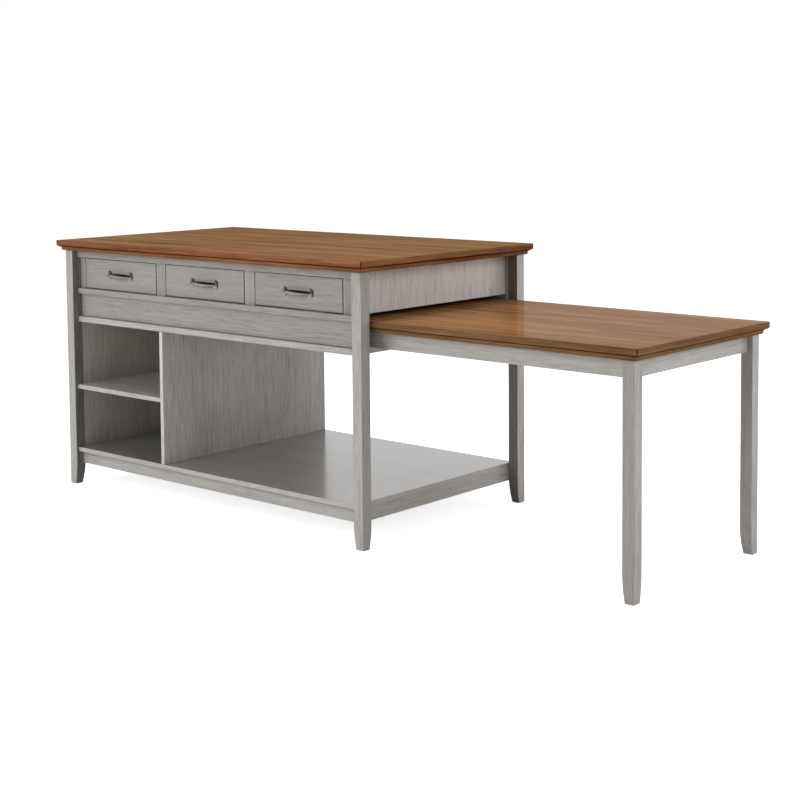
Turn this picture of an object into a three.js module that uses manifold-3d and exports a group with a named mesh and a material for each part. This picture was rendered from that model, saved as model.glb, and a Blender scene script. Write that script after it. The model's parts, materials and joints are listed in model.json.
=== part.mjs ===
// A kitchen island on four legs, with three drawers, open bays above a bottom shelf,
// and a table that slides out through its right-hand end on two legs of its own.
// Millimetres. +X runs along the island towards the table, -Y is the drawer front, +Z is up.
// The origin is on the floor, under the middle of the whole object with the table pulled out.
import * as THREE from "three";
import { mergeVertices } from "three/addons/utils/BufferGeometryUtils.js";
import Module from "manifold-3d";

const wasm = await Module();
wasm.setup();

// ---- Driving sizes ----

const island = { length: 1540, depth: 888, height: 914 };

// Both tops are a panel with a rounded nose over a coved moulding frame.
const topPanel = { thickness: 22, nose: 7, arris: 2, overhang: 24 };
const moulding = { height: 15, step: 7, cove: 7.5, lip: 1.5, width: 80 };

// A square leg; its two inward faces curve in towards the floor.
const leg = { side: 40, footHeight: 88, footTaper: 9 };

// Heights of the bands of the front, from the mouldings down.
const band = { topRail: 26, drawers: 116, midRail: 19, table: 86, bottomRail: 20 };

// Boards of the front and back; "behind" is how far a back face lies behind the legs' inner faces.
const rail = { thickness: 20, behind: 3 };
const stile = { thickness: 18, behind: 16, leftWidth: 28, midWidth: 48, rightWidth: 70 };
const widePanel = { thickness: 6, behind: 5 };
const backPanel = { thickness: 12, behind: 4 };

// The end boards. The right-hand ones stand in a pocket, which the table's legs slide into.
const sidePanel = { leftThickness: 16, rightThickness: 15, pocketDepth: 10 };

const bottomShelf = { height: 140, thickness: 16, edgeRecess: 10, legGap: 2 };
const skirt = { height: 47, thickness: 18, recess: 30 };
const bay = {
  width: 472,
  boardThickness: 16,
  backThickness: 12,
  edgeRecess: 12,
  shelfHeight: 376,
};

// The drawers run on a thin deck, between guide blocks.
const drawerCount = 3;
const deck = { thickness: 8, guideHeight: 20, guideLength: 460 };
const drawerBox = {
  depth: 440,
  boardThickness: 12,
  bottomThickness: 6,
  bottomRise: 12,
  sideGap: 13,
  topGap: 16,
  backDrop: 6,
};

// The pull: a bar that bows out from one oval foot to the other and swells towards its middle.
const pull = {
  span: 118,
  reach: 28,
  footWidth: 24,
  footHeight: 30,
  footThickness: 6,
  footRim: 4,
  neckRadius: 4.5,
  middleRadius: 8.5,
};

// The table: how far it reaches out past the island, and how much of it stays held inside.
const table = { reach: 950, hold: 300, sideGap: 8, headroom: 16 };
const apron = { thickness: 20, innerStep: 2, innerInset: 10 };
const tableGuide = { lipHeight: 20, lipThickness: 12, lipGap: 3, ledge: 2 };

// Clearances: round a drawer front, under what glides, and beside what slides past.
const clearance = { reveal: 2, glide: 0.3, slide: 0.5 };

// Each size is taken to the nearest 1/64 mm, so that boards that touch share one exact plane.
const gridSteps = 64;
const onGrid = (value) => Math.round(value * gridSteps) / gridSteps;
const groups = [island, topPanel, moulding, leg, band, rail, stile, widePanel, backPanel, sidePanel];
groups.push(bottomShelf, skirt, bay, deck, drawerBox, pull, table, apron, tableGuide, clearance);
for (const sizes of groups) {
  for (const name of Object.keys(sizes)) sizes[name] = onGrid(sizes[name]);
}

// ---- Places worked out from the sizes ----

const halfLength = island.length / 2;
const halfDepth = island.depth / 2;
const legOuterX = halfLength - topPanel.overhang;
const legOuterY = halfDepth - topPanel.overhang;
const legInnerX = legOuterX - leg.side;
const legInnerY = legOuterY - leg.side;

const frameTop = island.height - topPanel.thickness - moulding.height;
const topRailBottom = frameTop - band.topRail;
const midRailTop = topRailBottom - band.drawers;
const midRailBottom = midRailTop - band.midRail;
const bottomRailTop = midRailBottom - band.table;
const bottomRailBottom = bottomRailTop - band.bottomRail;

// A front board's limits in Y, front face first.
function frontBoardY({ thickness, behind }) {
  const back = -legInnerY + behind;
  return [back - thickness, back];
}
const railY = frontBoardY(rail);
const stileY = frontBoardY(stile);
const widePanelY = frontBoardY(widePanel);
const backPanelY = [legInnerY - backPanel.behind, legInnerY - backPanel.behind + backPanel.thickness];

const rightSideOuterX = legInnerX - sidePanel.pocketDepth;
const rightSideInnerX = rightSideOuterX - sidePanel.rightThickness;

const deckBottom = midRailTop + clearance.reveal;
const deckTop = deckBottom + deck.thickness;
const stileWidths = stile.leftWidth + stile.rightWidth + (drawerCount - 1) * stile.midWidth;
const openingWidth = onGrid((2 * legInnerX - stileWidths) / drawerCount);

const shelfEdgeY = legOuterY - bottomShelf.edgeRecess;
const shelfBottom = bottomShelf.height - bottomShelf.thickness;
const shelfRightX = legInnerX - bottomShelf.legGap;
const dividerX = [-legInnerX + bay.width, -legInnerX + bay.width + bay.boardThickness];
const bayEdgeY = legOuterY - bay.edgeRecess;

const tableTopHeight = deckBottom - table.headroom;
const tableFrameTop = tableTopHeight - topPanel.thickness - moulding.height;
const tableHalfWidth = legInnerY - table.sideGap;
const tableEndX = halfLength + table.reach;
const tableInnerX = halfLength - table.hold;
const tableLegOuterX = tableEndX - topPanel.overhang;
const tableLegOuterY = tableHalfWidth - topPanel.overhang;
const tableLegInnerX = tableLegOuterX - leg.side;
const tableLegInnerY = tableLegOuterY - leg.side;
const apronInnerY = tableLegInnerY + apron.innerStep;
const apronOuterY = apronInnerY + apron.thickness;
const apronBottom = bottomRailTop + clearance.glide;

// ---- Materials ----

const finishes = {
  stainedWood: { color: 0x9b7048, roughness: 0.38, metalness: 0 },
  paintedWood: { color: 0xa5a29e, roughness: 0.6, metalness: 0 },
  drawerWood: { color: 0xc8b08a, roughness: 0.7, metalness: 0 },
  pewter: { color: 0x6b655e, roughness: 0.35, metalness: 0.9 },
};

function mesh(name, finish, geometry) {
  const made = new THREE.Mesh(geometry, new THREE.MeshStandardMaterial(finishes[finish]));
  made.name = name;
  return made;
}

// ---- Geometry helpers ----

// A flat board that fills the box between two limits on each axis.
function board(name, finish, x, y, z) {
  const made = mesh(name, finish, new THREE.BoxGeometry(x[1] - x[0], y[1] - y[0], z[1] - z[0]));
  made.position.set((x[0] + x[1]) / 2, (y[0] + y[1]) / 2, (z[0] + z[1]) / 2);
  return made;
}

function solidOf(geometry) {
  const bare = geometry.clone();
  bare.deleteAttribute("normal");
  bare.deleteAttribute("uv");
  const merged = mergeVertices(bare, 1e-4);
  return new wasm.Manifold(
    new wasm.Mesh({
      numProp: 3,
      vertProperties: merged.attributes.position.array,
      triVerts: new Uint32Array(merged.index.array),
    }),
  );
}

function geometryOf(solid) {
  const { vertProperties, triVerts } = solid.getMesh();
  const geometry = new THREE.BufferGeometry();
  geometry.setAttribute("position", new THREE.BufferAttribute(vertProperties, 3));
  geometry.setIndex(new THREE.BufferAttribute(triVerts, 1));
  geometry.computeVertexNormals();
  return geometry;
}

const xAxis = new THREE.Vector3(1, 0, 0);
const yAxis = new THREE.Vector3(0, 1, 0);
const zAxis = new THREE.Vector3(0, 0, 1);
const sectionAcrossX = new THREE.Matrix4().makeBasis(yAxis, zAxis, xAxis); // shape drawn in Y and Z
const sectionAcrossY = new THREE.Matrix4().makeBasis(xAxis, zAxis, yAxis.clone().negate()); // in X and Z
const curveSegments = 6;

// A shape run out to a length, centred on the middle of that length.
function prism(shape, length, placing) {
  const geometry = new THREE.ExtrudeGeometry(shape, { depth: length, curveSegments, bevelEnabled: false });
  return geometry.translate(0, 0, -length / 2).applyMatrix4(placing);
}

// One section followed round all four sides of a rectangle, mitred at its corners.
function mitred(section, length, width) {
  const alongY = solidOf(prism(section(length), width, sectionAcrossY));
  const alongX = solidOf(prism(section(width), length, sectionAcrossX));
  return alongY.intersect(alongX);
}

// ---- Tops ----

// The panel's section: a small arris above, a vertical edge and a round nose below.
function panelSection(width) {
  const { thickness, nose, arris } = topPanel;
  const half = width / 2;
  const quarter = Math.PI / 2;
  return new THREE.Shape()
    .moveTo(-half + nose, 0)
    .absarc(half - nose, nose, nose, -quarter, 0, false)
    .absarc(half - arris, thickness - arris, arris, 0, quarter, false)
    .absarc(-half + arris, thickness - arris, arris, quarter, 2 * quarter, false)
    .absarc(-half + nose, nose, nose, 2 * quarter, 3 * quarter, false);
}

// The moulding's section: a vertical edge, a cove that runs out under the panel, and a narrow lip.
function mouldingSection(width) {
  const { height, step, cove, lip } = moulding;
  const half = width / 2 - step;
  const coveBottom = height - lip - cove;
  const quarter = Math.PI / 2;
  return new THREE.Shape()
    .moveTo(-half + cove, 0)
    .lineTo(half - cove, 0)
    .absarc(half, coveBottom, cove, 2 * quarter, quarter, true)
    .lineTo(half, height)
    .lineTo(-half, height)
    .absarc(-half, coveBottom, cove, quarter, 0, true);
}

function makeTop(name, length, width, centreX, surfaceHeight) {
  const panelBottom = surfaceHeight - topPanel.thickness;
  const panel = mesh(`${name}_panel`, "stainedWood", geometryOf(mitred(panelSection, length, width)));
  panel.position.set(centreX, 0, panelBottom);

  const frameInset = 2 * (moulding.step + moulding.cove + moulding.width);
  const hollow = new THREE.BoxGeometry(length - frameInset, width - frameInset, 4 * moulding.height);
  const frame = mitred(mouldingSection, length, width).subtract(solidOf(hollow));
  const under = mesh(`${name}_moulding`, "stainedWood", geometryOf(frame));
  under.position.set(centreX, 0, panelBottom - moulding.height);
  return [panel, under];
}

// ---- Legs ----

// Half of a leg's shape, in plan distance from its outer corner and height: straight, with a curved-in foot.
function legSection(height) {
  return new THREE.Shape()
    .moveTo(0, 0)
    .lineTo(leg.side - leg.footTaper, 0)
    .quadraticCurveTo(leg.side, leg.footHeight / 2, leg.side, leg.footHeight)
    .lineTo(leg.side, height)
    .lineTo(0, height);
}

function legGeometry(height) {
  const slack = 4 * leg.side;
  const curvedInX = solidOf(prism(legSection(height), slack, sectionAcrossY));
  const curvedInY = solidOf(prism(legSection(height), slack, sectionAcrossX));
  return geometryOf(curvedInX.intersect(curvedInY));
}

// outerX and outerY are the leg's outer corner; the leg and its curved faces lie inwards of it.
function makeLeg(name, outerX, outerY, inwardX, inwardY, height) {
  const made = mesh(name, "paintedWood", legGeometry(height));
  made.position.set(outerX, outerY, 0);
  made.scale.set(inwardX, inwardY, 1);
  return made;
}

function makeIslandLegs() {
  return [
    makeLeg("leg_front_left", -legOuterX, -legOuterY, 1, 1, frameTop),
    makeLeg("leg_front_right", legOuterX, -legOuterY, -1, 1, frameTop),
    makeLeg("leg_back_left", -legOuterX, legOuterY, 1, -1, frameTop),
    makeLeg("leg_back_right", legOuterX, legOuterY, -1, -1, frameTop),
  ];
}

// ---- Front frame ----

const betweenLegs = [-legInnerX, legInnerX];

function drawerOpening(index) {
  const left = -legInnerX + stile.leftWidth + index * (openingWidth + stile.midWidth);
  return [left, left + openingWidth];
}

function makeStiles() {
  const made = [];
  for (let index = 0; index <= drawerCount; index++) {
    const left = index === 0 ? -legInnerX : drawerOpening(index - 1)[1];
    const right = index === drawerCount ? legInnerX : drawerOpening(index)[0];
    const name = `front_stile_${index + 1}`;
    made.push(board(name, "paintedWood", [left, right], stileY, [midRailTop, topRailBottom]));
  }
  return made;
}

function makeFrontFrame() {
  return [
    board("front_top_rail", "paintedWood", betweenLegs, railY, [topRailBottom, frameTop]),
    board("front_mid_rail", "paintedWood", betweenLegs, railY, [midRailBottom, midRailTop]),
    board("front_bottom_rail", "paintedWood", betweenLegs, railY, [bottomRailBottom, bottomRailTop]),
    board("front_wide_panel", "paintedWood", betweenLegs, widePanelY, [bottomRailTop, midRailBottom]),
    ...makeStiles(),
  ];
}

// ---- Ends and back ----

function makeEndsAndBack() {
  const leftX = [-legInnerX - sidePanel.leftThickness, -legInnerX];
  const rightX = [rightSideInnerX, rightSideOuterX];
  const rightRailY = [railY[1], backPanelY[0]];
  return [
    board("left_side_panel", "paintedWood", leftX, [-legInnerY, legInnerY], [bottomShelf.height, frameTop]),
    board("right_side_panel", "paintedWood", rightX, [stileY[1], backPanelY[0]], [deckBottom, frameTop]),
    board("right_lower_rail", "paintedWood", rightX, rightRailY, [bottomRailBottom, bottomRailTop]),
    board("back_panel", "paintedWood", betweenLegs, backPanelY, [bottomRailBottom, frameTop]),
  ];
}

// ---- Bottom shelf and skirts ----

// The shelf meets the legs' inner faces at its corners and stops short of the right-hand pocket.
function shelfOutline() {
  const left = -legOuterX + bottomShelf.edgeRecess;
  const corners = [
    [-legInnerX, -shelfEdgeY],
    [legInnerX, -shelfEdgeY],
    [legInnerX, -legInnerY],
    [shelfRightX, -legInnerY],
    [shelfRightX, legInnerY],
    [legInnerX, legInnerY],
    [legInnerX, shelfEdgeY],
    [-legInnerX, shelfEdgeY],
    [-legInnerX, legInnerY],
    [left, legInnerY],
    [left, -legInnerY],
    [-legInnerX, -legInnerY],
  ];
  return new THREE.Shape(corners.map(([x, y]) => new THREE.Vector2(x, y)));
}

function makeBottomShelf() {
  const depth = bottomShelf.thickness;
  const geometry = new THREE.ExtrudeGeometry(shelfOutline(), { depth, bevelEnabled: false });
  const made = mesh("bottom_shelf", "paintedWood", geometry);
  made.position.z = shelfBottom;
  return made;
}

function makeSkirts() {
  const z = [shelfBottom - skirt.height, shelfBottom];
  const outerY = legOuterY - skirt.recess;
  const innerY = outerY - skirt.thickness;
  const leftX = [-legInnerX - skirt.thickness, -legInnerX];
  const rightX = [shelfRightX - skirt.thickness, shelfRightX];
  return [
    board("front_skirt", "paintedWood", betweenLegs, [-outerY, -innerY], z),
    board("back_skirt", "paintedWood", betweenLegs, [innerY, outerY], z),
    board("left_skirt", "paintedWood", leftX, [-legInnerY, legInnerY], z),
    board("right_skirt", "paintedWood", rightX, [-innerY, innerY], z),
  ];
}

// ---- Bays ----

function makeBays() {
  const fullHeight = [bottomShelf.height, bottomRailBottom];
  const bayX = [-legInnerX, dividerX[0]];
  const halfBack = bay.backThickness / 2;
  const shelfZ = [bay.shelfHeight - bay.boardThickness, bay.shelfHeight];
  return [
    board("bay_divider", "paintedWood", dividerX, [-bayEdgeY, bayEdgeY], fullHeight),
    board("bay_back_panel", "paintedWood", bayX, [-halfBack, halfBack], fullHeight),
    board("bay_shelf_front", "paintedWood", bayX, [-bayEdgeY, -halfBack], shelfZ),
    board("bay_shelf_back", "paintedWood", bayX, [halfBack, bayEdgeY], shelfZ),
  ];
}

// ---- Deck and guides for the drawers ----

function makeDeckAndGuides() {
  const deckX = [-legInnerX, rightSideInnerX];
  const deckY = [stileY[1], backPanelY[0]];
  const made = [board("drawer_deck", "drawerWood", deckX, deckY, [deckBottom, deckTop])];
  const guideY = [stileY[1], stileY[1] + deck.guideLength];
  const guideZ = [deckTop, deckTop + deck.guideHeight];
  const boxInset = drawerBox.sideGap - clearance.slide;
  for (let index = 0; index <= drawerCount; index++) {
    const left = index === 0 ? -legInnerX : drawerOpening(index - 1)[1] - boxInset;
    const right = index === drawerCount ? rightSideInnerX : drawerOpening(index)[0] + boxInset;
    made.push(board(`drawer_guide_${index + 1}`, "drawerWood", [left, right], guideY, guideZ));
  }
  return made;
}

// ---- Drawers ----

const frontBackY = stileY[1] - clearance.slide;

// The bar: a round-ended rod laid along a shallow arch, which starts and ends inside the feet.
function bowGeometry() {
  const { span, reach, neckRadius, middleRadius } = pull;
  const halfSpan = span / 2;
  const rise = reach - middleRadius - neckRadius;
  const geometry = new THREE.CapsuleGeometry(neckRadius, span, 4, 16, 16);
  const vertices = geometry.attributes.position;
  const vertex = new THREE.Vector3();
  for (let index = 0; index < vertices.count; index++) {
    vertex.fromBufferAttribute(vertices, index);
    const along = THREE.MathUtils.clamp(vertex.y, -halfSpan, halfSpan);
    const share = along / halfSpan;
    const swell = 1 + (middleRadius / neckRadius - 1) * (1 - share ** 2);
    const forward = new THREE.Vector2(halfSpan, 2 * rise * share).setLength(vertex.y - along);
    const outward = new THREE.Vector2(2 * rise * share, -halfSpan).setLength(swell * vertex.x);
    const x = along + forward.x + outward.x;
    const y = -neckRadius - rise * (1 - share ** 2) + forward.y + outward.y;
    vertices.setXYZ(index, x, y, swell * vertex.z);
  }
  return geometry;
}

// An oval foot on the drawer's face: a short rim and a low dome towards -Y.
function footGeometry(x) {
  const { footWidth, footHeight, footThickness, footRim } = pull;
  const domeSteps = 5;
  const profile = [];
  for (let step = 0; step <= domeSteps; step++) {
    const angle = (step / domeSteps) * (Math.PI / 2);
    const height = footRim + (footThickness - footRim) * Math.cos(angle);
    profile.push(new THREE.Vector2(Math.sin(angle), -height));
  }
  profile.push(new THREE.Vector2(1, 0), new THREE.Vector2(0, 0));
  return new THREE.LatheGeometry(profile, 24).scale(footWidth / 2, 1, footHeight / 2).translate(x, 0, 0);
}

function pullGeometry() {
  const feet = [-pull.span / 2, pull.span / 2].map((x) => solidOf(footGeometry(x)));
  return geometryOf(solidOf(bowGeometry()).add(feet[0]).add(feet[1]));
}

function makePull(name, centreX) {
  const made = mesh(name, "pewter", pullGeometry());
  made.position.set(centreX, stileY[0], (midRailTop + topRailBottom) / 2);
  return made;
}

function makeDrawer(index) {
  const name = `drawer_${index + 1}`;
  const [left, right] = drawerOpening(index);
  const { boardThickness, bottomThickness, sideGap } = drawerBox;
  const frontX = [left + clearance.reveal, right - clearance.reveal];
  const frontZ = [midRailTop + clearance.reveal, topRailBottom - clearance.reveal];
  const boxX = [left + sideGap, right - sideGap];
  const insideX = [boxX[0] + boardThickness, boxX[1] - boardThickness];
  const boxY = [frontBackY, frontBackY + drawerBox.depth];
  const sideZ = [deckTop + clearance.glide, topRailBottom - drawerBox.topGap];
  const bottomUnder = sideZ[0] + drawerBox.bottomRise;
  const bottomZ = [bottomUnder, bottomUnder + bottomThickness];
  const backZ = [bottomZ[1], sideZ[1] - drawerBox.backDrop];
  return [
    board(`${name}_front`, "paintedWood", frontX, [stileY[0], frontBackY], frontZ),
    board(`${name}_side_left`, "drawerWood", [boxX[0], insideX[0]], boxY, sideZ),
    board(`${name}_side_right`, "drawerWood", [insideX[1], boxX[1]], boxY, sideZ),
    board(`${name}_bottom`, "drawerWood", insideX, boxY, bottomZ),
    board(`${name}_back`, "drawerWood", insideX, [boxY[1] - boardThickness, boxY[1]], backZ),
    makePull(`${name}_pull`, (left + right) / 2),
  ];
}

// ---- Table and its guides ----

// An L-shaped bearer: the apron glides on its flat part, inside its lip.
function tableGuideOutline(outerY) {
  const { lipHeight, lipThickness, lipGap, ledge } = tableGuide;
  const lipInner = apronOuterY + lipGap;
  const corners = [
    [apronInnerY - ledge, bottomRailBottom],
    [outerY, bottomRailBottom],
    [outerY, bottomRailTop],
    [lipInner + lipThickness, bottomRailTop],
    [lipInner + lipThickness, bottomRailTop + lipHeight],
    [lipInner, bottomRailTop + lipHeight],
    [lipInner, bottomRailTop],
    [apronInnerY - ledge, bottomRailTop],
  ];
  return new THREE.Shape(corners.map(([y, z]) => new THREE.Vector2(y, z)));
}

function makeTableGuide(name, outerY, side) {
  const length = rightSideInnerX + legInnerX;
  const made = mesh(name, "drawerWood", prism(tableGuideOutline(outerY), length, sectionAcrossX));
  made.position.x = (rightSideInnerX - legInnerX) / 2;
  made.scale.y = side;
  return made;
}

function makeTable() {
  const innerRailX = [tableInnerX + apron.innerInset, tableInnerX + apron.innerInset + apron.thickness];
  const sideX = [innerRailX[0], tableLegInnerX];
  const endX = [tableLegInnerX + apron.innerStep, tableLegInnerX + apron.innerStep + apron.thickness];
  const betweenTableLegs = [-tableLegInnerY, tableLegInnerY];
  const z = [apronBottom, tableFrameTop];
  const centreX = (tableInnerX + tableEndX) / 2;
  return [
    ...makeTop("table_top", table.reach + table.hold, 2 * tableHalfWidth, centreX, tableTopHeight),
    makeLeg("table_leg_front", tableLegOuterX, -tableLegOuterY, -1, 1, tableFrameTop),
    makeLeg("table_leg_back", tableLegOuterX, tableLegOuterY, -1, -1, tableFrameTop),
    board("table_end_apron", "paintedWood", endX, betweenTableLegs, z),
    board("table_apron_front", "paintedWood", sideX, [-apronOuterY, -apronInnerY], z),
    board("table_apron_back", "paintedWood", sideX, [apronInnerY, apronOuterY], z),
    board("table_inner_rail", "paintedWood", innerRailX, [-apronInnerY, apronInnerY], z),
  ];
}

// ---- Assembly ----

function group(...children) {
  return new THREE.Group().add(...children);
}

const islandCase = group(
  ...makeTop("island_top", island.length, island.depth, 0, island.height),
  ...makeIslandLegs(),
  ...makeFrontFrame(),
  ...makeEndsAndBack(),
  makeBottomShelf(),
  ...makeSkirts(),
  ...makeBays(),
  ...makeDeckAndGuides(),
  makeTableGuide("table_guide_front", -railY[1], -1),
  makeTableGuide("table_guide_back", backPanelY[0], 1),
);

const drawers = [];
for (let index = 0; index < drawerCount; index++) drawers.push(group(...makeDrawer(index)));

const root = group(islandCase, ...drawers, group(...makeTable()));
root.position.x = -table.reach / 2;

export default root;
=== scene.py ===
# %% [markdown]
# # A kitchen island with a table that pulls out of its end
# The island is cabinet work: square legs, thin rails and stiles, and loose panels between them, all painted
# in a grey that was brushed out along the grain. Both tops are stained brown, with a coved moulding under
# the edge. The boards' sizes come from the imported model, which is loaded first and never moved. Each board
# is then made again with the eased edges and the grain that a real one has.

# %% Load the frame
import json
import math

import bpy
from mathutils import Matrix, Vector


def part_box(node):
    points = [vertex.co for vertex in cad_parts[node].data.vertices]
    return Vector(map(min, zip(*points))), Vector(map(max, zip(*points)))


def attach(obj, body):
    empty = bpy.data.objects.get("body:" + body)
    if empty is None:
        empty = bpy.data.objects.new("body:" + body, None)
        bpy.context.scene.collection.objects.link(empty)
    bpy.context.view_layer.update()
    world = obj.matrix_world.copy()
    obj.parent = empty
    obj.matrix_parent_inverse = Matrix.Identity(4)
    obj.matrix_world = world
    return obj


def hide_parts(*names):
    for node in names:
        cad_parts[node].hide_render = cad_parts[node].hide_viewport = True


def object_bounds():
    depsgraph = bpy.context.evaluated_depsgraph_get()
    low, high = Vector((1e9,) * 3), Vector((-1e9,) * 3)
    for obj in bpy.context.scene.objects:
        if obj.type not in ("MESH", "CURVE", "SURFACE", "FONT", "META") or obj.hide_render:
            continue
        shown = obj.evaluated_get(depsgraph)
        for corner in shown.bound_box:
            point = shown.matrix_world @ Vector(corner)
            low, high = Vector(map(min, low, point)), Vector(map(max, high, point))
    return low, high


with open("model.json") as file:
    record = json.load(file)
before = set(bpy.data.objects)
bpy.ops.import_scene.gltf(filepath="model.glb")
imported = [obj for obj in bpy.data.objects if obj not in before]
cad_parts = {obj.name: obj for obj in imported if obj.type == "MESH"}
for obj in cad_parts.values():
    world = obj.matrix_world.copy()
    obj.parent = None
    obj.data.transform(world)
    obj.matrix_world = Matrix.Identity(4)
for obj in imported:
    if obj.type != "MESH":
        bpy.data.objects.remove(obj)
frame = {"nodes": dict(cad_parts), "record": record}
cad_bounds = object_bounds()
record = frame["record"]
body_of = {node: body for body, nodes in record["behaviour"]["bodies"].items() for node in nodes}
print("nodes:", len(frame["nodes"]), "box:", cad_bounds)

MM = 0.001

# %% [markdown]
# ## Colours and a helper for materials
# Hex colours are what a colour picker shows. Shaders work in linear light, so one function turns them
# round. A second small function adds any node with its settings and links, which keeps each material
# readable.

# %% Colour and node helpers
def linear(hex_colour):
    """An sRGB hex colour as linear RGBA."""
    channels = [int(hex_colour[i:i + 2], 16) / 255 for i in (1, 3, 5)]
    turned = [c / 12.92 if c <= 0.04045 else ((c + 0.055) / 1.055) ** 2.4 for c in channels]
    return (*turned, 1.0)


def add(material, kind, inputs=None, **settings):
    """Adds a node. An input is given by name or number, as a value or as the socket that feeds it."""
    tree = material.node_tree
    node = tree.nodes.new(kind)
    for name, value in settings.items():
        setattr(node, name, value)
    for name, value in (inputs or {}).items():
        if isinstance(value, bpy.types.NodeSocket):
            tree.links.new(value, node.inputs[name])
        else:
            node.inputs[name].default_value = value
    return node


def new_material(name):
    """A new node material and its shader."""
    material = bpy.data.materials.new(name)
    material.use_nodes = True
    return material, material.node_tree.nodes["Principled BSDF"]


def feed(material, shader, **inputs):
    """Sets or links the shader's sockets; an underscore stands for a space."""
    for name, value in inputs.items():
        socket = shader.inputs[name.replace("_", " ")]
        if isinstance(value, bpy.types.NodeSocket):
            material.node_tree.links.new(value, socket)
        else:
            socket.default_value = value


def ramp(material, factor, stops):
    """A colour ramp through (position, hex colour) stops."""
    node = add(material, "ShaderNodeValToRGB", {"Fac": factor})
    while len(node.color_ramp.elements) < len(stops):
        node.color_ramp.elements.new(0.5)
    for element, (position, colour) in zip(node.color_ramp.elements, stops):
        element.position = position
        element.color = linear(colour)
    return node.outputs["Color"]


print("a mid grey in linear light:", [round(c, 3) for c in linear("#808080")])

# %% [markdown]
# ## The grain's coordinates
# Wood grain is a pattern that is long one way and short across. A noise is read at coordinates that are
# divided by the length and width of a streak, in millimetres, so its size can be read off the numbers.
# Object coordinates are used, because every piece stands at the origin with its place in its mesh.
#
# One pixel of this picture spans about 3 mm. A real oak pore is 0.3 mm wide and would blur into one flat
# colour, so the finest streaks here are drawn about 2 mm wide, as coarse as they have to be to show.

# %% Streaks along a grain direction
def streaks(material, grain, length_mm, width_mm, detail=3.0, roughness=0.6):
    """A noise of streaks that run along the grain axis: its value, from 0 to 1."""
    scale = [1 / (width_mm * MM)] * 3
    scale["XYZ".index(grain)] = 1 / (length_mm * MM)
    place = add(material, "ShaderNodeTexCoord").outputs["Object"]
    mapped = add(material, "ShaderNodeMapping", {"Vector": place, "Scale": scale}).outputs["Vector"]
    inputs = {"Vector": mapped, "Scale": 1.0, "Detail": detail, "Roughness": roughness}
    return add(material, "ShaderNodeTexNoise", inputs).outputs["Fac"]


def weighted(material, *pairs):
    """The sum of (weight, value) pairs."""
    total = None
    for weight, value in pairs:
        inputs = {0: value, 1: weight, 2: total if total is not None else 0.0}
        total = add(material, "ShaderNodeMath", inputs, operation="MULTIPLY_ADD").outputs[0]
    return total


def bumped(material, height, depth_mm, strength=1.0):
    """A bump of a real depth from a height value of 0 to 1."""
    inputs = {"Height": height, "Distance": depth_mm * MM, "Strength": strength}
    return add(material, "ShaderNodeBump", inputs).outputs["Normal"]


# %% [markdown]
# ## Brushed grey paint on oak
# The case is oak whose soft grain was wire-brushed out, then painted grey and wiped, so the paint lies
# darker in the pores and pale on the ridges. That gives thin broken streaks along each board over a cloudy
# grey. One material is made for each grain direction: boards run along X or Y, and legs and panels stand
# upright.
#
# A photograph of wood could be laid on the boards, but noise follows every board without a seam, and its
# streaks have real sizes. The paint comes in four tones. The light tone is the paint's own grey. The deep
# and dark tones are painted shade on faces where shade falls, and the pale tone is painted light on faces
# that the lamps leave dark. The shelves also have a clear lacquer, a coat over the paint that gives them a
# soft shine.

# %% Tones of the grey paint
# Each tone runs from the pores to the ridges. The stops say where in the noise its four colours lie.
# Only the light tone is the paint's own grey. The deep and dark tones are painted shade, and the pale tone
# is painted light, and on the divider's front edges a painted highlight.
PAINT_TONES = {
    "pale": ["#A19E9A", "#C4C1BD", "#D2CFCB", "#DEDBD7"],
    "light": ["#85827F", "#A6A39F", "#B4B1AD", "#C2C0BC"],
    "deep": ["#75726E", "#95928E", "#A19E9A", "#ADAAA6"],
    "dark": ["#504E4B", "#6A6764", "#787572", "#868380"],
}
CLEAR_STREAKS = (0.37, 0.46, 0.54, 0.65)
FAINT_STREAKS = (0.33, 0.46, 0.55, 0.69)
PAINT_STOPS = {"pale": CLEAR_STREAKS, "light": CLEAR_STREAKS, "deep": FAINT_STREAKS, "dark": CLEAR_STREAKS}
print("grey paint tones:", list(PAINT_TONES))

# %% Brushed grey paint
def brushed_grey_paint(grain, name="brushed_grey_paint", tone="light", clear_coat=0.0):
    """Satin paint in broken streaks: dark in the pores, pale on the ridges, over slow clouds of tone."""
    material, shader = new_material(f"{name}_grain_{grain.lower()}")
    pores = streaks(material, grain, 60, 2.0, detail=4.0, roughness=0.6)
    bands = streaks(material, grain, 240, 7, detail=3.0)
    clouds = streaks(material, grain, 900, 120, detail=2.0)
    mixed = weighted(material, (0.56, pores), (0.26, bands), (0.18, clouds))
    colour = ramp(material, mixed, list(zip(PAINT_STOPS[tone], PAINT_TONES[tone])))
    roughness = weighted(material, (0.12, pores), (1.0, 0.3))
    feed(material, shader, Base_Color=colour, Roughness=roughness, Normal=bumped(material, pores, 0.2, 0.5))
    feed(material, shader, Specular_IOR_Level=0.5, Coat_Weight=clear_coat, Coat_Roughness=0.15)
    return material


grey_paint = {grain: brushed_grey_paint(grain) for grain in "XYZ"}
# The deep, dark and pale greys carry painted shade and painted light.
painted_shade_grey = {grain: brushed_grey_paint(grain, "deep_brushed_grey_paint", tone="deep") for grain in "XZ"}
painted_deep_shade_grey = {"Z": brushed_grey_paint("Z", "dark_brushed_grey_paint", tone="dark")}
painted_light_grey = {"Z": brushed_grey_paint("Z", "pale_brushed_grey_paint", tone="pale")}
shelf_paint = brushed_grey_paint("X", "lacquered_grey_paint", clear_coat=1.0)
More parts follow.
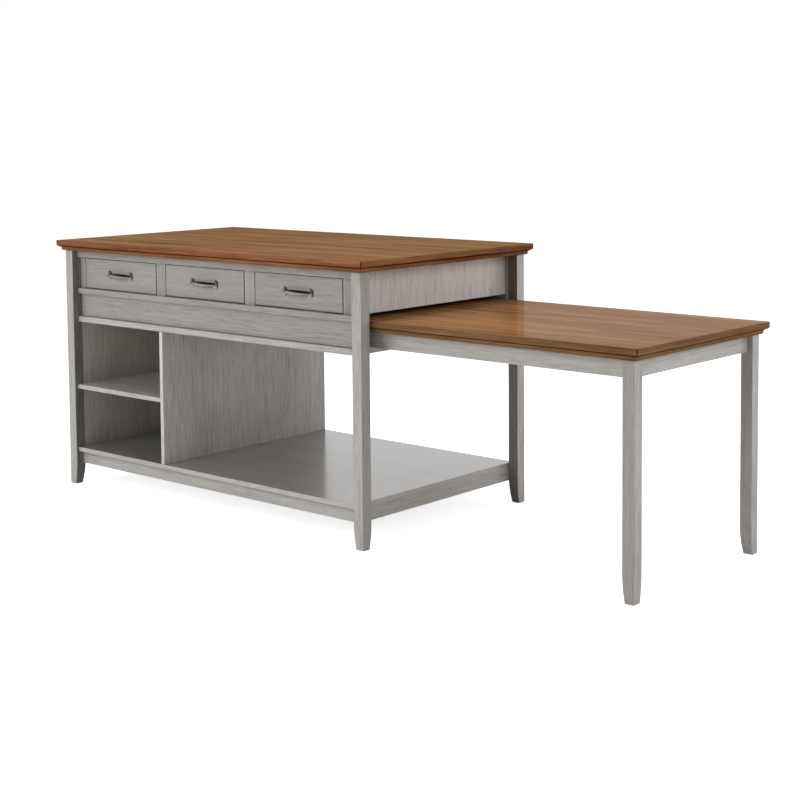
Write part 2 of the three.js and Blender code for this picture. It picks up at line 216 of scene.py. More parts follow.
# The dark lacquered grey is painted shade on the bottom shelf's upper and lower faces.
painted_shade_shelf_paint = brushed_grey_paint("X", "dark_lacquered_grey_paint", tone="dark", clear_coat=1.0)
grey_paints = [*grey_paint.values(), *painted_shade_grey.values(), *painted_deep_shade_grey.values(), *painted_light_grey.values(),
               shelf_paint, painted_shade_shelf_paint]
print("grey paint:", [material.name for material in grey_paints])

# %% Painted shadow on the drawer fronts' edges
def painted_gap_shadow():
    """Matt and nearly black: a painted shadow line in the gaps, which outlines each drawer front and the
    wide panel.
    """
    material, shader = new_material("painted_shadow_on_front_edges")
    specks = streaks(material, "X", 30, 3.0)
    colour = ramp(material, specks, [(0.35, "#3B3835"), (0.65, "#55524E")])
    feed(material, shader, Base_Color=colour, Roughness=0.8)
    return material


gap_shadow_paint = painted_gap_shadow()
print("edge paint:", gap_shadow_paint.name)

# %% [markdown]
# ## Stained tops
# The tops are veneered in an oak that was stained a warm brown. The stain sinks into the pores as fine dark
# lines, and whole leaves of veneer differ a little in tone. The island's top was left nearly matt. The
# table has more lacquer, which gives it the pale sheen that shows when it is seen from low down.
#
# The edges are solid oak and took the stain differently, so each top has a face tone and an edge tone. The
# long edges have their grain along X, and the end edges along Y.

# %% Brown stain
# Each tone runs from the pores to the pale wood between them.
STAIN_TONES = {
    "island_face": ["#48301A", "#785639", "#8E6945", "#B48B5F"],
    "island_edge": ["#402513", "#724A32", "#88593A", "#A4764F"],
    "table_face": ["#4C2E17", "#7E5635", "#966B44", "#BC8D5D"],
    "table_edge": ["#3E2B18", "#6C4D33", "#805F40", "#A07D56"],
}
STAIN_STOPS = (0.36, 0.46, 0.54, 0.66)
FACE_LACQUER = {"island": 0.02, "table": 0.18}
EDGE_LACQUER = 0.05


def brown_stain(grain, tone, lacquer):
    """Warm brown with fine dark pore lines and slow changes of tone. The lacquer is its only gloss."""
    material, shader = new_material(f"brown_stained_oak_{tone}_grain_{grain.lower()}")
    pores = streaks(material, grain, 120, 2.2, detail=4.0, roughness=0.62)
    bands = streaks(material, grain, 420, 14, detail=3.0)
    leaves = streaks(material, grain, 1100, 70, detail=4.0)
    mixed = weighted(material, (0.42, pores), (0.3, bands), (0.28, leaves))
    colour = ramp(material, mixed, list(zip(STAIN_STOPS, STAIN_TONES[tone])))
    roughness = weighted(material, (0.08, pores), (1.0, 0.22))
    feed(material, shader, Base_Color=colour, Roughness=roughness, Normal=bumped(material, pores, 0.05, 0.3))
    feed(material, shader, Specular_IOR_Level=0.0, Coat_Weight=lacquer, Coat_Roughness=0.1)
    return material


stain = {
    top: [
        brown_stain("X", f"{top}_face", lacquer),
        brown_stain("X", f"{top}_edge", EDGE_LACQUER),
        brown_stain("Y", f"{top}_edge", EDGE_LACQUER),
    ]
    for top, lacquer in FACE_LACQUER.items()
}
print("brown stain:", [material.name for stains in stain.values() for material in stains])

# %% Stain in the joints, and painted shadow under the nose
def joint_stain_and_painted_shadow():
    """End grain at a mitre drinks the stain: a thin, dull line that is nearly black. At the joint under the
    nose the same colour is a painted shadow.
    """
    material, shader = new_material("dark_stain_in_mitres_and_painted_shadow")
    pores = streaks(material, "Z", 20, 3.0)
    feed(material, shader, Base_Color=ramp(material, pores, [(0.3, "#140B06"), (0.7, "#28170D")]))
    feed(material, shader, Roughness=0.7, Specular_IOR_Level=0.1)
    return material


mitre_stain_and_painted_shadow = joint_stain_and_painted_shadow()
print("joint stain:", mitre_stain_and_painted_shadow.name)

# %% [markdown]
# ## Bare birch and antique pewter
# The drawer boxes and runners are plain sanded birch, pale and matt. The pulls are a cast zinc alloy with
# an antique pewter plating and a fine tarnish. Their colour carries painted light as well: faces that look
# forward, down or to the left get a painted reflection, pale and bright, and faces that look up and to the
# right get painted shade, nearly black, so each pull has a bright front with a dark upper rim.

# %% Birch and pewter
# Faces turned this way get painted shade; faces turned away get a bright painted reflection.
PAINTED_SHADE_SIDE = (0.72, 0.0, 0.69)  # to the right and up


def bare_birch(grain):
    """Pale, matt and even: soft fibres and broad, faint bands."""
    material, shader = new_material(f"bare_birch_grain_{grain.lower()}")
    fibres = streaks(material, grain, 130, 2.6, detail=4.0)
    bands = streaks(material, grain, 500, 24)
    mixed = weighted(material, (0.5, fibres), (0.5, bands))
    colour = ramp(material, mixed, [(0.36, "#B3946A"), (0.5, "#CBB088"), (0.64, "#DAC4A0")])
    feed(material, shader, Base_Color=colour, Roughness=0.62, Normal=bumped(material, fibres, 0.15, 0.5))
    feed(material, shader, Specular_IOR_Level=0.3)
    return material


def antique_pewter():
    """Satin metal with fine tarnish: a painted reflection makes its front bright, and painted shade makes it
    near black above and on the right-hand rims.
    """
    material, shader = new_material("antique_pewter_with_painted_shade_and_reflection")
    tarnish = streaks(material, "X", 9, 4.5, detail=5.0, roughness=0.7)
    facing = add(material, "ShaderNodeNewGeometry").outputs["Normal"]
    painted_shade_amount = add(material, "ShaderNodeVectorMath", {0: facing, 1: PAINTED_SHADE_SIDE}, operation="DOT_PRODUCT")
    mixed = weighted(material, (1.0, painted_shade_amount.outputs["Value"]), (0.35, tarnish))
    colour = ramp(material, mixed, [(0.0, "#B9B1A8"), (0.3, "#8A827A"), (0.52, "#36312D"), (0.8, "#120F0E")])
    roughness = weighted(material, (0.16, tarnish), (1.0, 0.3))
    feed(material, shader, Base_Color=colour, Metallic=1.0, Roughness=roughness)
    feed(material, shader, Normal=bumped(material, tarnish, 0.08, 0.4))
    return material


birch = {grain: bare_birch(grain) for grain in "XYZ"}
pewter = antique_pewter()
print("birch and metal:", [material.name for material in birch.values()], pewter.name)

# %% [markdown]
# ## Making a board
# A sawn board isn't a box with knife edges: its arrises are eased with a touch of sandpaper, and that thin
# rounded line is what catches the light. A cube is added at the board's size, its place is applied into its
# mesh, and a bevel eases the edges. Hardened normals keep the wide faces flat.
#
# A piece may carry several materials. Its faces are then given theirs by the way they look, which is what
# choosing faces by hand and pressing Assign does.

# %% Board helpers
def add_block(name, low, high):
    """A cube added at a board's limits, with its place in its mesh."""
    bpy.ops.object.select_all(action="DESELECT")
    centre = (Vector(low) + Vector(high)) / 2
    bpy.ops.mesh.primitive_cube_add(size=1, location=centre, scale=Vector(high) - Vector(low))
    bpy.ops.object.transform_apply(location=True, rotation=True, scale=True)
    piece = bpy.context.object
    piece.name = piece.data.name = name
    return piece


def ease_edges(piece, width_mm, segments=3, angle=35):
    """A bevel on every edge sharper than the angle, applied."""
    bpy.ops.object.shade_smooth()
    bevel = piece.modifiers.new("eased_edges", "BEVEL")
    bevel.width = width_mm * MM
    bevel.segments = segments
    bevel.limit_method = "ANGLE"
    bevel.angle_limit = math.radians(angle)
    bevel.harden_normals = True
    bpy.ops.object.modifier_apply(modifier=bevel.name)


def dress(piece, node, *materials):
    """The piece takes the materials, and stands for and moves with the node."""
    for material in materials:
        piece.data.materials.append(material)
    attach(piece, body_of[node])
    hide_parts(node)


def make_board(node, *materials, arris_mm=1.0):
    """A board in the node's place, with eased edges."""
    low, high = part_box(node)
    piece = add_block(f"{node}_board", low, high)
    ease_edges(piece, arris_mm)
    dress(piece, node, *materials)
    return piece


def colour_faces(piece, choose):
    """Gives each face of a dressed piece the material whose number is chosen for it."""
    for face in piece.data.polygons:
        face.material_index = int(choose(face))


front_low, front_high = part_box("drawer_1_front")
print("a drawer front, in mm:", [round(c / MM, 1) for c in front_high - front_low])

# %% [markdown]
# ## The painted boards
# Every flat board of the case is made the same way, so they are listed by the direction of their grain.
# Rails, drawer fronts and shelves run along the island, the end boards run across it, and stiles and panels
# stand upright.
#
# The drawer fronts and the wide panel get rounder edges than a rail, and the rounding takes the dark edge
# paint, a painted shadow line in the gaps round them. The front frame has the deep tone, painted shade where
# it stands back under the top and the rails. The bay's divider has pale front edges, a painted highlight,
# and the panels in the bay's back and over the table are pale too, painted light on faces that the lamps
# leave dark.

# %% Painted boards
FACING = 0.5  # a face counts as looking along an axis when its normal leans this far that way
ROUNDING = (0.2, 0.97)  # a front's rounded edge leans forward more than its sides and less than its face
FRONT_ARRIS_MM = 2.0

drawer_numbers = (1, 2, 3)
grain_of_painted_boards = {
    "X": ["front_top_rail", "front_mid_rail", "front_bottom_rail", "front_wide_panel", "front_skirt",
          "back_skirt", "bay_shelf_front", "bay_shelf_back", "table_apron_front", "table_apron_back",
          *(f"drawer_{number}_front" for number in drawer_numbers)],
    "Y": ["right_lower_rail", "left_skirt", "right_skirt", "table_end_apron",
          "table_inner_rail"],
    "Z": ["front_stile_1", "front_stile_2", "front_stile_3", "front_stile_4", "left_side_panel",
          "right_side_panel", "back_panel", "bay_divider", "bay_back_panel"],
}


def make_painted_board(node, grain):
    """A board in the tone of its place in the case: deep for painted shade, pale for painted light and
    highlight.
    """
    if node.startswith(("drawer", "front_wide")):
        front = make_board(node, painted_shade_grey[grain], gap_shadow_paint, arris_mm=FRONT_ARRIS_MM)
        colour_faces(front, lambda face: ROUNDING[0] < abs(face.normal.y) < ROUNDING[1])
    elif node == "bay_divider":
        divider = make_board(node, grey_paint[grain], painted_light_grey[grain])
        colour_faces(divider, lambda face: abs(face.normal.y) > FACING)
    elif node.startswith(("front_stile", "front_mid", "front_top")):
        make_board(node, painted_shade_grey[grain])
    elif node in ("bay_back_panel", "right_side_panel"):
        make_board(node, painted_light_grey[grain])
    elif "shelf" in node:
        make_board(node, shelf_paint)
    else:
        make_board(node, grey_paint[grain])


for grain, board_nodes in grain_of_painted_boards.items():
    for node in board_nodes:
        make_painted_board(node, grain)
    print("painted boards along", grain, len(board_nodes))

# %% [markdown]
# ## The drawers' boxes and what they run on
# Behind each front is a plain birch box that only shows when the drawer is pulled out. Sides run front to
# back, and the back and bottom run across. They are boards like the rest, with sharper edges. The table's
# two L-shaped guides are never seen, so their solids stay and only take the birch.

# %% Birch boards
BIRCH_ARRIS_MM = 0.8
grain_of_birch_boards = {
    "X": ["drawer_deck",
          *(f"drawer_{number}_{part}" for number in drawer_numbers for part in ("back", "bottom"))],
    "Y": [*(f"drawer_guide_{number}" for number in (1, 2, 3, 4)),
          *(f"drawer_{number}_side_{side}" for number in drawer_numbers for side in ("left", "right"))],
}
for grain, board_nodes in grain_of_birch_boards.items():
    for node in board_nodes:
        make_board(node, birch[grain], arris_mm=BIRCH_ARRIS_MM)
    print("birch boards along", grain, len(board_nodes))
for node in ("table_guide_front", "table_guide_back"):
    guide = frame["nodes"][node]
    guide.data.materials.clear()
    guide.data.materials.append(birch["X"])

# %% [markdown]
# ## Growing a shape section by section
# Legs and tops aren't plain boards. Each starts as one flat rectangle, which is extruded again and again,
# and after each extrusion the new face is moved and stretched to the next section. That is how a shape is
# pulled up by hand. A cutter and a boolean would do too, but sections follow a profile exactly and leave
# clean edges for the bevel. Left open and joined to its start, the shape is a frame.

# %% Sections
SAME_POINT = 0.01 * MM


def add_rectangle(name, centre, size):
    """A flat rectangle added in plan, with its place in its mesh."""
    bpy.ops.object.select_all(action="DESELECT")
    bpy.ops.mesh.primitive_plane_add(size=1, location=centre)
    piece = bpy.context.object
    piece.scale = (*size, 1)
    bpy.ops.object.transform_apply(location=True, rotation=True, scale=True)
    piece.name = piece.data.name = name
    return piece


def section(low_x, high_x, low_y, high_y, z):
    """A rectangle in plan at one height: its centre and its size."""
    centre = Vector(((low_x + high_x) / 2, (low_y + high_y) / 2, z))
    return centre, (high_x - low_x, high_y - low_y)


def grow(name, sections, closed_ring=False):
    """A solid through the sections in turn, or a frame whose last section is its first."""
    (centre, size), *others = sections
    piece = add_rectangle(name, centre, size)
    bpy.ops.object.mode_set(mode="EDIT")
    bpy.ops.mesh.select_all(action="SELECT")
    if closed_ring:
        bpy.ops.mesh.delete(type="ONLY_FACE")
        bpy.ops.mesh.select_all(action="SELECT")
    for next_centre, next_size in others:
        bpy.ops.mesh.extrude_region_move(TRANSFORM_OT_translate={"value": next_centre - centre})
        stretch = (next_size[0] / size[0], next_size[1] / size[1], 1)
        bpy.ops.transform.resize(value=stretch, center_override=next_centre)
        centre, size = next_centre, next_size
    bpy.ops.mesh.select_all(action="SELECT")
    bpy.ops.mesh.remove_doubles(threshold=SAME_POINT)
    bpy.ops.mesh.normals_make_consistent(inside=False)
    bpy.ops.object.mode_set(mode="OBJECT")
    return piece


print("points merged where nearer than", SAME_POINT / MM, "mm")

# %% [markdown]
# ## The legs
# Each leg is a square post whose foot curves in on the two faces that look towards the middle. In a
# catalogue this is called a tapered foot. The sections follow the curve up from the floor, and the bevel
# then eases the four long arrises.
#
# The faces that look into the case take the dark tone, painted shade that makes them darker than the soft
# light alone leaves them. The table's legs have the deep tone in front and behind, and the front right leg
# on its right-hand face, as painted shade beside their lit sides.

# %% Legs
FOOT_HEIGHT = 88 * MM
FOOT_TAPER = 9 * MM
FOOT_STEPS = 8
LEG_ARRIS_MM = 1.6
# A leg's second and third tones are painted shade.
LIGHT, PAINTED_SHADE, PAINTED_DEEP_SHADE = 0, 1, 2
island_middle_x = cad_bounds[0][0] + 770 * MM  # half of the island's top, which is 1540 mm long
leg_nodes = [node for node in frame["nodes"] if "leg_" in node]


def foot_width(full, share):
    """The post's width at a share of the foot's height: a curve that ends upright at its top."""
    narrow = full - FOOT_TAPER
    return (1 - share) ** 2 * narrow + 2 * share * (1 - share) * full + share ** 2 * full


def leg_sections(low, high, on_left, in_front):
    """Sections from the floor up. The foot tapers on its inner faces and keeps its outer ones."""
    sections = []
    for step in range(FOOT_STEPS + 1):
        share = step / FOOT_STEPS
        width = foot_width(high.x - low.x, share)
        near_x, far_x = (low.x, low.x + width) if on_left else (high.x - width, high.x)
        near_y, far_y = (low.y, low.y + width) if in_front else (high.y - width, high.y)
        sections.append(section(near_x, far_x, near_y, far_y, low.z + share * FOOT_HEIGHT))
    return [*sections, section(low.x, high.x, low.y, high.y, high.z)]


def leg_tone(node, face, on_left, in_front):
    """The tone of a leg's face by the way it looks; the deep and dark tones are painted shade."""
    across, along = face.normal.x, face.normal.y
    if node.startswith("table"):
        return PAINTED_SHADE if abs(along) > FACING else LIGHT
    if across > FACING and on_left:
        return PAINTED_DEEP_SHADE
    if across > FACING:
        return PAINTED_SHADE if in_front else LIGHT
    inwards = along if in_front else -along
    return PAINTED_DEEP_SHADE if inwards > FACING else LIGHT


def make_leg(node):
    """A leg, and its height in return."""
    low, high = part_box(node)
    on_left, in_front = low.x < island_middle_x, low.y < 0
    piece = grow(f"{node}_post", leg_sections(low, high, on_left, in_front))
    ease_edges(piece, LEG_ARRIS_MM)
    dress(piece, node, grey_paint["Z"], painted_shade_grey["Z"], painted_deep_shade_grey["Z"])
    colour_faces(piece, lambda face: leg_tone(node, face, on_left, in_front))
    return high.z


print("leg heights:", {node: round(make_leg(node), 4) for node in leg_nodes})

# %% [markdown]
# ## The bottom shelf
# One wide board, notched round the legs. Four blocks could be cut out of it, but it is simpler to start as
# the rectangle between the legs and to extrude its front, back and left edges past their inner faces. The
# flat outline is then extruded to its thickness. Its upper and lower faces have the dark tone under their
# lacquer, a painted shade under the case, and its edges the light one.

# %% Bottom shelf
SHELF_ARRIS_MM = 1.2
LEVEL = 0.9  # a face counts as level when its normal leans this far up or down


def select_edges(piece, test):
    """Selects the edges whose two ends pass the test, in edit mode."""
    bpy.ops.object.mode_set(mode="OBJECT")
    points = [vertex.co for vertex in piece.data.vertices]
    for polygon in piece.data.polygons:
        polygon.select = False
    for vertex in piece.data.vertices:
        vertex.select = False
    for edge in piece.data.edges:
        edge.select = all(test(points[index]) for index in edge.vertices)
    bpy.ops.object.mode_set(mode="EDIT")


def make_bottom_shelf():
    """The notched shelf, from the rectangle between the legs."""
    node = "bottom_shelf"
    low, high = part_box(node)
    leg_low, leg_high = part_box("leg_front_left")[1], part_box("leg_back_right")[0]
    right_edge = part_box("right_skirt")[1].x
    start = section(leg_low.x, right_edge, leg_low.y, leg_high.y, low.z)
    piece = add_rectangle(f"{node}_board", *start)
    bpy.ops.object.mode_set(mode="EDIT")
    bpy.ops.mesh.select_mode(type="EDGE")

    def on_front(point):
        return abs(point.y - leg_low.y) < MM

    def on_back(point):
        return abs(point.y - leg_high.y) < MM

    def on_left(point):
        return abs(point.x - leg_low.x) < MM and leg_low.y - MM < point.y < leg_high.y + MM

    outwards = [
        (on_front, (0, low.y - leg_low.y, 0)),
        (on_back, (0, high.y - leg_high.y, 0)),
        (on_left, (low.x - leg_low.x, 0, 0)),
    ]
    for test, move in outwards:
        select_edges(piece, test)
        bpy.ops.mesh.extrude_region_move(TRANSFORM_OT_translate={"value": move})
    bpy.ops.mesh.select_all(action="SELECT")
    bpy.ops.mesh.extrude_region_move(TRANSFORM_OT_translate={"value": (0, 0, high.z - low.z)})
    bpy.ops.mesh.select_all(action="SELECT")
    bpy.ops.mesh.dissolve_limited(angle_limit=math.radians(1))
    bpy.ops.mesh.normals_make_consistent(inside=False)
    bpy.ops.object.mode_set(mode="OBJECT")
    ease_edges(piece, SHELF_ARRIS_MM)
    dress(piece, node, shelf_paint, painted_shade_shelf_paint)
    colour_faces(piece, lambda face: abs(face.normal.z) > LEVEL)
    return piece


bottom_shelf = make_bottom_shelf()
print("bottom shelf faces:", len(bottom_shelf.data.polygons))

# %% [markdown]
# ## The tops
# A top is two layers. The upper is a panel with a tiny arris above and a round nose below. The lower is a
# moulding frame with a lip, a hollow cove and a flat underside, mitred at its corners. A profile could be
# swept round a rectangle as a curve. Here the sections are rectangles that step in as the profile does, so
# that the mitres come out as exact edges.

# %% Profiles of the tops
NOSE = 7 * MM
ARRIS = 2 * MM
COVE = 7.5 * MM
LIP = 1.5 * MM
MOULDING_WIDTH = 80 * MM


def inset_section(low, high, inset, z):
    """The top's outline stepped in by the inset, at one height."""
    return section(low.x + inset, high.x - inset, low.y + inset, high.y - inset, z)


def quarter_turn(steps):
    """Angles from 0 to a right angle."""
    return [step / steps * math.pi / 2 for step in range(steps + 1)]


def panel_sections(low, high):
    """Round the nose, and then round the arris, from below."""
    nose = [(NOSE * (1 - math.sin(a)), low.z + NOSE * (1 - math.cos(a))) for a in quarter_turn(6)]
    arris = [(ARRIS * (1 - math.cos(a)), high.z - ARRIS * (1 - math.sin(a))) for a in quarter_turn(3)]
    return [inset_section(low, high, inset, z) for inset, z in nose + arris]


def moulding_sections(low, high):
    """Out along the underside, up the cove, round the lip, back along the top and down to the start."""
    cove_top = high.z - LIP
    inside = COVE + MOULDING_WIDTH
    profile = [(inside, low.z), (COVE, low.z)]
    profile += [(COVE * math.sin(a), cove_top - COVE * (1 - math.cos(a))) for a in reversed(quarter_turn(6))]
    profile += [(0, high.z), (inside, high.z), (inside, low.z)]
    return [inset_section(low, high, inset, z) for inset, z in profile]


# %% [markdown]
# The mitres and the joint between the layers are hairlines on the real top. The mitres are drawn as a flat
# bevel of 2 mm with dark stain on it, because a finer line wouldn't show at this distance. The same dark
# stain lies on the faces just above and below the joint, where it is a dark joint line and a painted shadow
# under the nose.

# %% Tops
MITRE_LINE_MM = 2.0
JOINT_REACH = 2.1 * MM  # a face whose middle is this near the joint's height belongs to the joint
NEARLY_LEVEL = 0.98
LEANING = 0.3  # a normal that leans this far sideways is an edge's, and both ways it is a mitre's
FACE, LONG_EDGE, END_EDGE, JOINT = 0, 1, 2, 3


def flatten_faces(piece):
    """Normals weighted by area, applied, which keep a wide face flat beside a narrow rounded one."""
    bpy.ops.object.shade_smooth_by_angle(angle=math.radians(50))
    weighted_normals = piece.modifiers.new("flat_faces", "WEIGHTED_NORMAL")
    weighted_normals.keep_sharp = True
    bpy.ops.object.modifier_apply(modifier=weighted_normals.name)


def top_stain(face, joint_z):
    """Which stain a face takes: the mitres are dark, the faces at the joint under the nose are dark as
    painted shadow, and edges have their own.
    """
    x, y = abs(face.normal.x), abs(face.normal.y)
    in_joint = abs(face.center.z - joint_z) < JOINT_REACH and abs(face.normal.z) < NEARLY_LEVEL
    if min(x, y) > LEANING or in_joint:
        return JOINT
    if max(x, y) > LEANING:
        return LONG_EDGE if y > x else END_EDGE
    return FACE


def make_top(name):
    """A panel and the moulding under it."""
    for layer, sections_of in (("panel", panel_sections), ("moulding", moulding_sections)):
        node = f"{name}_{layer}"
        low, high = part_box(node)
        piece = grow(f"{node}_wood", sections_of(low, high), closed_ring=layer == "moulding")
        ease_edges(piece, MITRE_LINE_MM, segments=1, angle=40)
        flatten_faces(piece)
        dress(piece, node, *stain[name.removesuffix("_top")], mitre_stain_and_painted_shadow)
        joint_z = low.z if layer == "panel" else high.z
        colour_faces(piece, lambda face: top_stain(face, joint_z))
        print(node, "faces", len(piece.data.polygons))


make_top("island_top")
make_top("table_top")

# %% [markdown]
# ## The pulls
# Each pull is a cast bar that bows out between two oval feet and is thickest in its middle. A curve with a
# round bevel would make a plain rod. So that the bar swells, a round section is extruded along the arch,
# and turned and stretched at each step. The feet are short oval drums whose faces swell a little. The three
# are joined by a boolean, and the finished pull is copied to each drawer.

# %% Pull sizes and arch
# The span runs between the feet's middles, and the reach from the drawer's face to the front of the bar.
PULL_SPAN = 118 * MM
PULL_REACH = 28 * MM
NECK_RADIUS = 4.5 * MM
MIDDLE_RADIUS = 8.5 * MM
BAR_SIDES = 24
BAR_STEPS = 24
CAP_ANGLES = [math.radians(a) for a in (80, 60, 40, 20)]  # steps of each rounded end, from its tip


def arch(share):
    """The bar's centre, heading and radius at a share of the span from -1 to 1, seen from its own middle."""
    half = PULL_SPAN / 2
    rise = PULL_REACH - MIDDLE_RADIUS - NECK_RADIUS
    lift = 1 - share ** 2
    centre = Vector((half * share, -NECK_RADIUS - rise * lift, 0))
    heading = math.atan2(2 * rise * share, half)
    return centre, heading, NECK_RADIUS + (MIDDLE_RADIUS - NECK_RADIUS) * lift


def bar_sections():
    """Sections from one rounded end to the other."""
    caps = []
    for side in (-1, 1):
        centre, heading, radius = arch(side)
        along = Vector((math.cos(heading), math.sin(heading), 0)) * side
        ends = [(centre + along * radius * math.sin(a), heading, radius * math.cos(a)) for a in CAP_ANGLES]
        caps.append(ends if side < 0 else ends[::-1])
    middle = [arch(2 * step / BAR_STEPS - 1) for step in range(BAR_STEPS + 1)]
    return caps[0] + middle + caps[1]


pull_low, pull_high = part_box("drawer_1_pull")
print("pull box:", [round(c / MM, 1) for c in pull_high - pull_low], "sections:", len(bar_sections()))

# %% The bar
def add_disc(radius, sides, place, rotation):
    """A filled circle, with its place and turn in its mesh."""
    bpy.ops.object.select_all(action="DESELECT")
    bpy.ops.mesh.primitive_circle_add(vertices=sides, radius=radius, fill_type="NGON", location=place,
                                      rotation=rotation)
    return bpy.context.object


def close_shape():
    """Turns all faces outwards and leaves edit mode."""
    bpy.ops.mesh.select_all(action="SELECT")
    bpy.ops.mesh.normals_make_consistent(inside=False)
    bpy.ops.object.mode_set(mode="OBJECT")


def make_bar():
    """The bowed bar, extruded along its arch."""
    sections = bar_sections()
    centre, heading, radius = sections[0]
    bar = add_disc(radius, BAR_SIDES, centre, (0, math.pi / 2, heading))
    bpy.ops.object.transform_apply(location=True, rotation=True, scale=True)
    bpy.ops.object.mode_set(mode="EDIT")
    bpy.ops.mesh.select_all(action="SELECT")
    for next_centre, next_heading, next_radius in sections[1:]:
        bpy.ops.mesh.extrude_region_move(TRANSFORM_OT_translate={"value": next_centre - centre})
        bpy.ops.transform.rotate(value=heading - next_heading, orient_axis="Z", center_override=next_centre)
        bpy.ops.transform.resize(value=[next_radius / radius] * 3, center_override=next_centre)
        centre, heading, radius = next_centre, next_heading, next_radius
    close_shape()
    return bar


# %% The feet, and the pull put together
PULL_FOOT_HALF = Vector((12 * MM, 0, 15 * MM))
PULL_FOOT_SIDES = 40
# From the drawer's face outwards: a share of the foot's half size, and the depth in millimetres.
PULL_FOOT_PROFILE = [(1.0, 0), (1.0, 3.2), (0.985, 3.7), (0.94, 4.0), (0.84, 4.0), (0.78, 4.35), (0.6, 5.2),
                (0.36, 5.8), (0.14, 6.0)]


def make_pull_foot(x):
    """An oval drum with a rounded rim and a face that swells from a shallow step."""
    foot = add_disc(1, PULL_FOOT_SIDES, (x, 0, 0), (math.pi / 2, 0, 0))
    foot.scale = (PULL_FOOT_HALF.x, PULL_FOOT_HALF.z, 1)
    bpy.ops.object.transform_apply(location=True, rotation=True, scale=True)
    bpy.ops.object.mode_set(mode="EDIT")
    bpy.ops.mesh.select_all(action="SELECT")
    for (share, depth), (next_share, next_depth) in zip(PULL_FOOT_PROFILE, PULL_FOOT_PROFILE[1:]):
        bpy.ops.mesh.extrude_region_move(TRANSFORM_OT_translate={"value": (0, (depth - next_depth) * MM, 0)})
        stretch = next_share / share
        bpy.ops.transform.resize(value=(stretch, 1, stretch), center_override=(x, -next_depth * MM, 0))
    close_shape()
    return foot


def unite(piece, other):
    """A boolean union that is applied, and the other object is then removed."""
    bpy.ops.object.select_all(action="DESELECT")
    bpy.context.view_layer.objects.active = piece
    piece.select_set(True)
    union = piece.modifiers.new("union", "BOOLEAN")
    union.operation = "UNION"
    union.solver = "EXACT"
    union.object = other
    bpy.ops.object.modifier_apply(modifier=union.name)
    bpy.data.objects.remove(other)


def make_pull_pattern():
    """One pull at the origin, which the three are copied from."""
    bar = make_bar()
    for side in (-1, 1):
        unite(bar, make_pull_foot(side * PULL_SPAN / 2))
    bpy.ops.object.shade_smooth_by_angle(angle=math.radians(40))
    return bar


pull_pattern = make_pull_pattern()
print("pull faces:", len(pull_pattern.data.polygons))

# %% Place the pulls
for number in drawer_numbers:
    node = f"drawer_{number}_pull"
    low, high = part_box(node)
    place = Vector(((low.x + high.x) / 2, high.y, (low.z + high.z) / 2))
    mesh = pull_pattern.data.copy()
    mesh.transform(Matrix.Translation(place))
    pull = bpy.data.objects.new(f"{node}_casting", mesh)
    bpy.context.scene.collection.objects.link(pull)
    dress(pull, node, pewter)
    print(node, "at", [round(c, 4) for c in place])
bpy.data.objects.remove(pull_pattern)

# %% [markdown]
# ## Floor and background
# The object stands on a plain white floor in a white room. The floor adds some white of its own where the
# camera sees it, so it blends into the background and still keeps the object's shadow. The world is white
# behind the object and in reflections, and much softer as a light, so that it only fills in.

# %% Floor and world
FLOOR_GLOW = 0.8
WORLD_FILL = 0.28


def white_floor():
    """Matt white, with a glow that only the camera sees."""
    material, shader = new_material("white_floor")
    seen = add(material, "ShaderNodeLightPath").outputs["Is Camera Ray"]
    strength = weighted(material, (FLOOR_GLOW, seen))
    feed(material, shader, Base_Color=linear("#F4F4F4"), Roughness=0.9, Specular_IOR_Level=0.0)
    feed(material, shader, Emission_Color=(1, 1, 1, 1), Emission_Strength=strength)
    return material


bpy.ops.object.select_all(action="DESELECT")
bpy.ops.mesh.primitive_plane_add(size=60, location=(0, 0, 0))
floor = bpy.context.object
floor.name = "floor"
floor.data.materials.append(white_floor())


def white_world(fill):
    """A white background to the camera and in reflections, and a softer white that lights the object."""
    world = bpy.data.worlds.new("white_room")
    bpy.context.scene.world = world
    world.use_nodes = True
    path = add(world, "ShaderNodeLightPath")
    rays = {0: path.outputs["Is Camera Ray"], 1: path.outputs["Is Glossy Ray"]}
    direct = add(world, "ShaderNodeMath", rays, operation="MAXIMUM").outputs[0]
    strength = weighted(world, (1 - fill, direct), (1.0, fill))
    background = world.node_tree.nodes["Background"]
    background.inputs["Color"].default_value = (1, 1, 1, 1)
    world.node_tree.links.new(strength, background.inputs["Strength"])


white_world(WORLD_FILL)
print("floor and world set")

# %% [markdown]
# ## Light
# Four softboxes light the object, as in a furniture studio: the key in front and to the left, a fill high
# on the right, one low behind on the right, and one above. The key and the one behind would show as white
# glare in the lacquered shelf, so reflections leave them out and show the white room there.

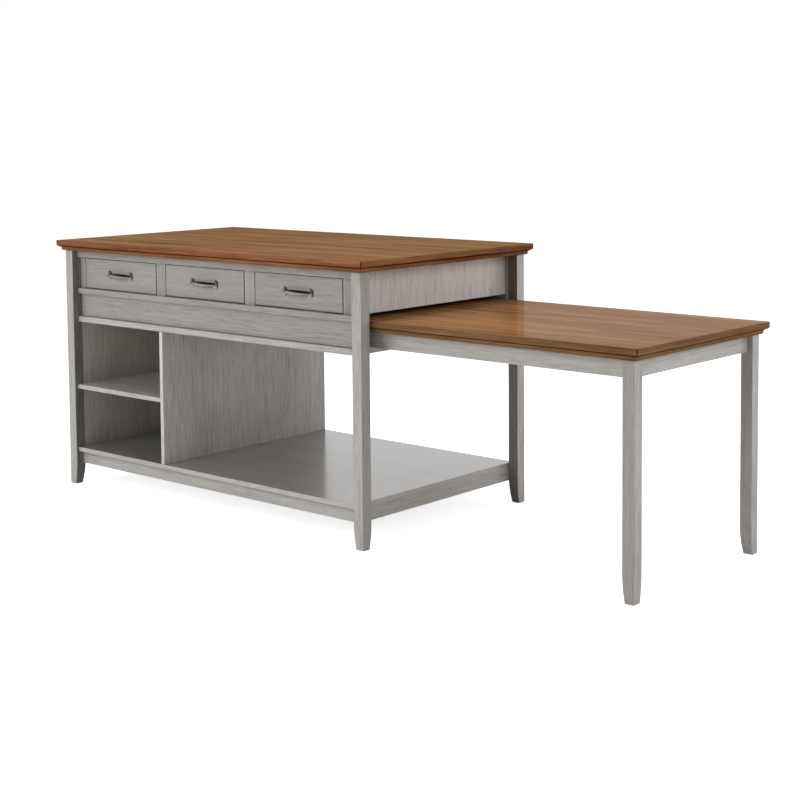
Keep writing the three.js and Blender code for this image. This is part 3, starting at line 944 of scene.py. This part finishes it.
# %% Softboxes
def softbox(name, place, target, size, watts, in_reflections=True):
    """A rectangular lamp at a place, turned to its target."""
    light = bpy.data.lights.new(name, "AREA")
    light.shape = "RECTANGLE"
    light.size, light.size_y = size
    light.energy = watts
    lamp = bpy.data.objects.new(name, light)
    lamp.location = place
    lamp.visible_glossy = in_reflections
    lamp.rotation_euler = (Vector(target) - Vector(place)).to_track_quat("-Z", "Y").to_euler()
    bpy.context.scene.collection.objects.link(lamp)


softbox("key_front", (-1.6, -4.5, 2.5), (-0.1, 0, 0.4), (3.6, 2.8), 125, in_reflections=False)
softbox("fill_right", (5.4, 0.8, 3.4), (0.6, 0, 0.5), (2.8, 2.8), 80)
softbox("back_right", (3.0, 4.6, 1.4), (0.2, 0, 0.3), (3.0, 1.8), 80, in_reflections=False)
softbox("top_soft", (-0.2, -0.4, 4.2), (0, 0, 0.6), (3.6, 2.4), 85)
print("softboxes placed")

# %% [markdown]
# ## The camera
# It stands in front and to the right, a little above the top, and looks slightly down. The photograph was
# taken with the picture shifted, which keeps the legs nearly upright, so the camera has some vertical
# shift.

# %% Camera
CAMERA_PLACE = Vector((3.5421, -3.9488, 1.3376))
YAW, PITCH, ROLL = (math.radians(a) for a in (41.3645, -4.2878, -0.4845))
FOCAL_LENGTH_MM = 70.45
SENSOR_WIDTH_MM = 36
VERTICAL_SHIFT = -0.2

ahead = Vector((-math.sin(YAW) * math.cos(PITCH), math.cos(YAW) * math.cos(PITCH), math.sin(PITCH)))
level_right = Vector((math.cos(YAW), math.sin(YAW), 0))
level_up = level_right.cross(ahead)
right = math.cos(ROLL) * level_right + math.sin(ROLL) * level_up
up = math.cos(ROLL) * level_up - math.sin(ROLL) * level_right

lens = bpy.data.cameras.new("camera")
lens.lens = FOCAL_LENGTH_MM
lens.sensor_width = SENSOR_WIDTH_MM
lens.shift_y = VERTICAL_SHIFT
camera = bpy.data.objects.new("camera", lens)
turn = Matrix((right, up, -ahead)).transposed()
camera.matrix_world = Matrix.Translation(CAMERA_PLACE) @ turn.to_4x4()
bpy.context.scene.collection.objects.link(camera)
bpy.context.scene.camera = camera
bpy.context.scene.view_settings.view_transform = "Standard"
print("camera at", [round(c, 3) for c in CAMERA_PLACE])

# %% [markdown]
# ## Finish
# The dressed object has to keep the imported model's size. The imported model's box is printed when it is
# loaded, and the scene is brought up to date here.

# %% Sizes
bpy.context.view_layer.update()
